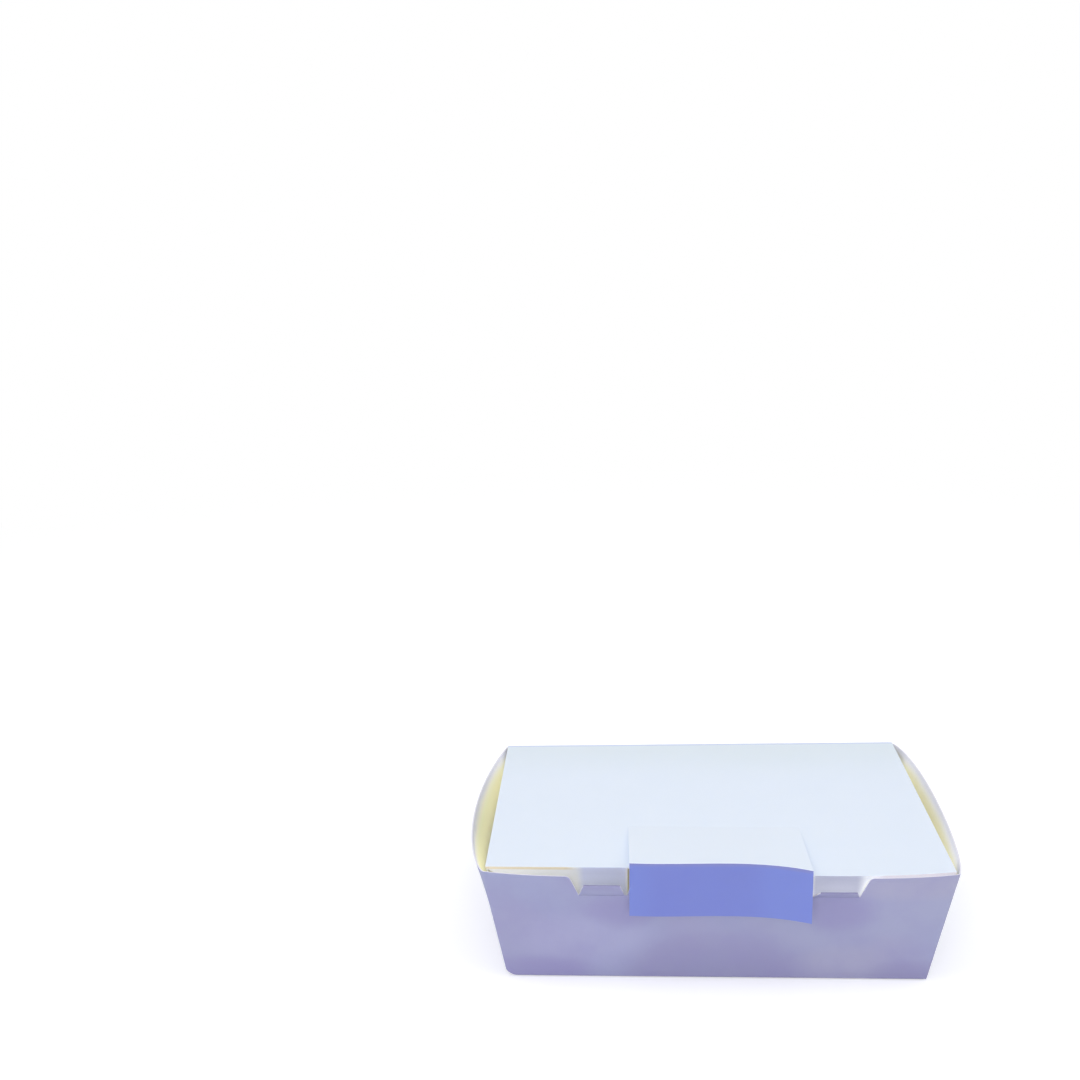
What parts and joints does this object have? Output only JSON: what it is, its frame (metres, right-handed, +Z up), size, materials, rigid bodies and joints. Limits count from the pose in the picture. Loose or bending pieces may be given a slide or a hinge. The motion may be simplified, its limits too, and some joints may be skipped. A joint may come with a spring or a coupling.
{
  "type": "takeout food box",
  "caption": "Shallow flared takeout box of folded white board with a hinged tuck-in lid and a front tongue that hangs over a notched front wall.",
  "frame": {"origin": "centre of the underside of the base", "axes": "+X along the front wall to the viewer's right, +Y from the front wall to the hinged back wall, +Z up"},
  "size_m": [0.1965, 0.1418, 0.0543],
  "materials": {
    "tray_board": "matte",
    "lid_board": "matte"
  },
  "bodies": {
    "tray": {"tray": "tray_board"},
    "lid": {"lid": "lid_board"}
  },
  "joints": [
    {"name": "lid_hinge", "type": "hinge", "parent": "tray", "child": "lid", "pos_m": [0, 0.065, 0.0485], "axis": [-0.9994, -0.0333, 0], "range_deg": [0, 108]}
  ]
}
